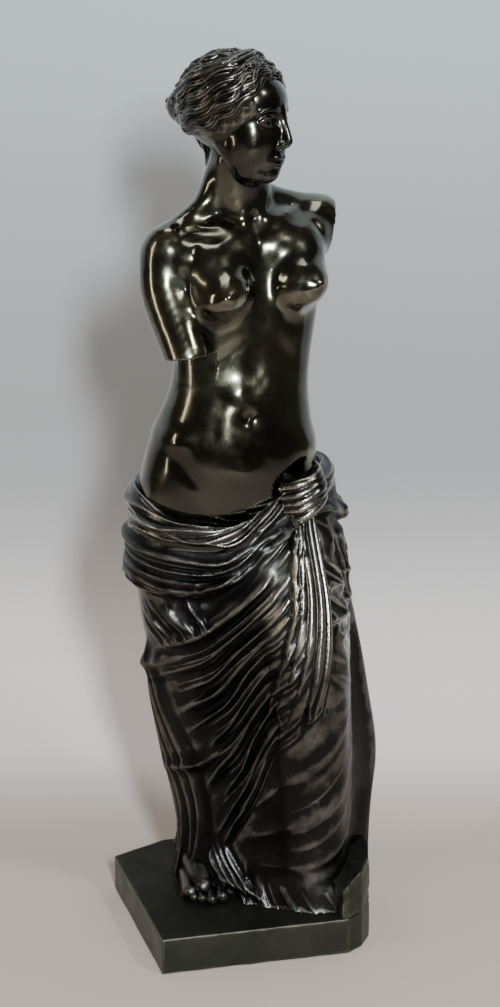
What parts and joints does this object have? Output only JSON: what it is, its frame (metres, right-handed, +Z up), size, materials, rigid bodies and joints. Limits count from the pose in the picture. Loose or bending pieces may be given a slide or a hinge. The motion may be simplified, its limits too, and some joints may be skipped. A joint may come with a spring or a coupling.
{
  "type": "aphrodite statue",
  "caption": "Bronze statue of a standing, half-draped classical goddess without arms, on a low clipped plinth with a block of raised ground under the left foot.",
  "frame": {"origin": "middle of the plinth's underside, on the ground", "axes": "+Z up; the figure faces -Y and its left side is towards +X"},
  "size_m": [0.2445, 0.2342, 0.8426],
  "materials": {
    "figure_bronze": "dark brown patina, polished on the body, satin on the cloth, worn to gold on high edges",
    "plinth_bronze": "greenish black patina, satin"
  },
  "bodies": {
    "root": {"figure": "figure_bronze", "plinth": "plinth_bronze"}
  },
  "joints": []
}
